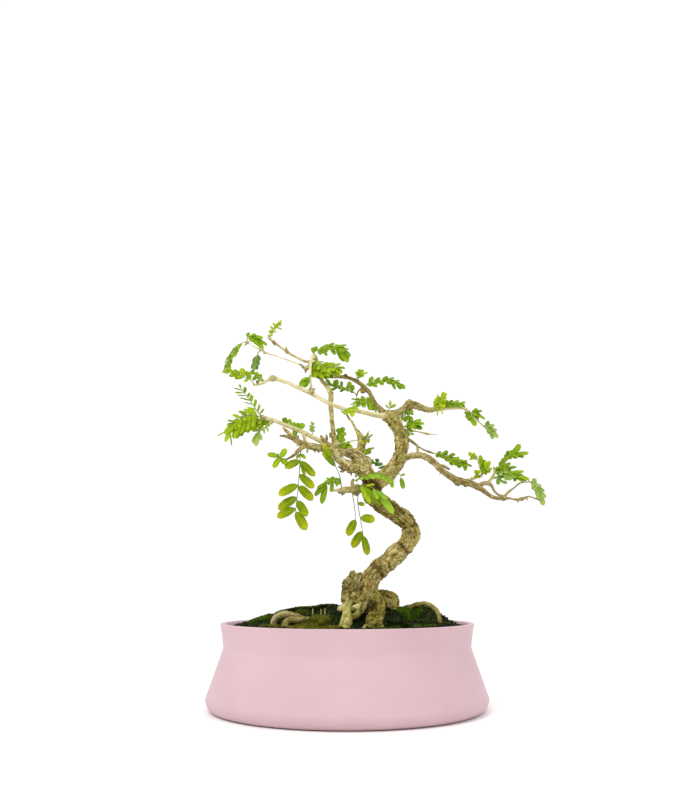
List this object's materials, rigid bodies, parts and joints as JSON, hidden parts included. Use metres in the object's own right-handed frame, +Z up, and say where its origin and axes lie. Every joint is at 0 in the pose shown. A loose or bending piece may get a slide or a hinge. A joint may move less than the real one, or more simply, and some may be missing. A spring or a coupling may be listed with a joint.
{
  "type": "bonsai tree in a round pot",
  "caption": "Leaning bonsai with a twisted trunk, long bare branches and feathery compound leaves, planted in a low round pot that flares at its foot.",
  "frame": {"origin": "centre of the pot's flat underside", "axes": "+Z up, +X to the right of the front view, +Y away from the viewer"},
  "size_m": [0.2785, 0.228, 0.3353],
  "materials": {
    "pot_clay": "satin pastel glaze",
    "mesh_plastic": "matte black",
    "soil": "damp loose earth",
    "moss": "soft cushion",
    "bark": "furrowed corky bark, paler and smoother on the young twigs",
    "leaf_green": "satin living leaf",
    "leaf_yellow_green": "satin living leaf",
    "leaf_dark": "satin living leaf",
    "leaf_light": "satin living leaf",
    "leaf_bronze": "satin living leaf turning yellow"
  },
  "bodies": {
    "root": {"pot": "pot_clay", "drain_mesh_left": "mesh_plastic", "drain_mesh_right": "mesh_plastic", "soil": "soil", "moss_right": "moss", "moss_left": "moss", "moss_back": "moss", "tree_wood": "bark", "leaf_03": "leaf_green", "leaf_46": "leaf_green", "leaf_51": "leaf_bronze", "leaf_53": "leaf_dark", "leaf_17": "leaf_yellow_green", "leaf_01": "leaf_yellow_green", "leaf_02": "leaf_green", "leaf_04": "leaf_dark", "leaf_05": "leaf_yellow_green", "leaf_06": "leaf_green", "leaf_07": "leaf_green", "leaf_08": "leaf_green", "leaf_09": "leaf_yellow_green", "leaf_10": "leaf_yellow_green", "leaf_11": "leaf_light", "leaf_12": "leaf_green", "leaf_13": "leaf_green", "leaf_14": "leaf_light", "leaf_21": "leaf_green", "leaf_22": "leaf_yellow_green", "leaf_23": "leaf_green", "leaf_24": "leaf_dark", "leaf_25": "leaf_green", "leaf_26": "leaf_yellow_green", "leaf_27": "leaf_yellow_green", "leaf_28": "leaf_green", "leaf_31": "leaf_green", "leaf_33": "leaf_yellow_green", "leaf_34": "leaf_green", "leaf_35": "leaf_green", "leaf_36": "leaf_green", "leaf_37": "leaf_light", "leaf_38": "leaf_green", "leaf_39": "leaf_yellow_green", "leaf_40": "leaf_green", "leaf_41": "leaf_yellow_green", "leaf_42": "leaf_yellow_green", "leaf_43": "leaf_green", "leaf_44": "leaf_green", "leaf_47": "leaf_light", "leaf_48": "leaf_light", "leaf_49": "leaf_green", "leaf_50": "leaf_green", "leaf_15": "leaf_bronze", "leaf_16": "leaf_yellow_green", "leaf_18": "leaf_yellow_green", "leaf_19": "leaf_green", "leaf_20": "leaf_bronze", "leaf_54": "leaf_bronze", "leaf_55": "leaf_yellow_green", "leaf_56": "leaf_yellow_green", "leaf_57": "leaf_green"}
  },
  "joints": []
}
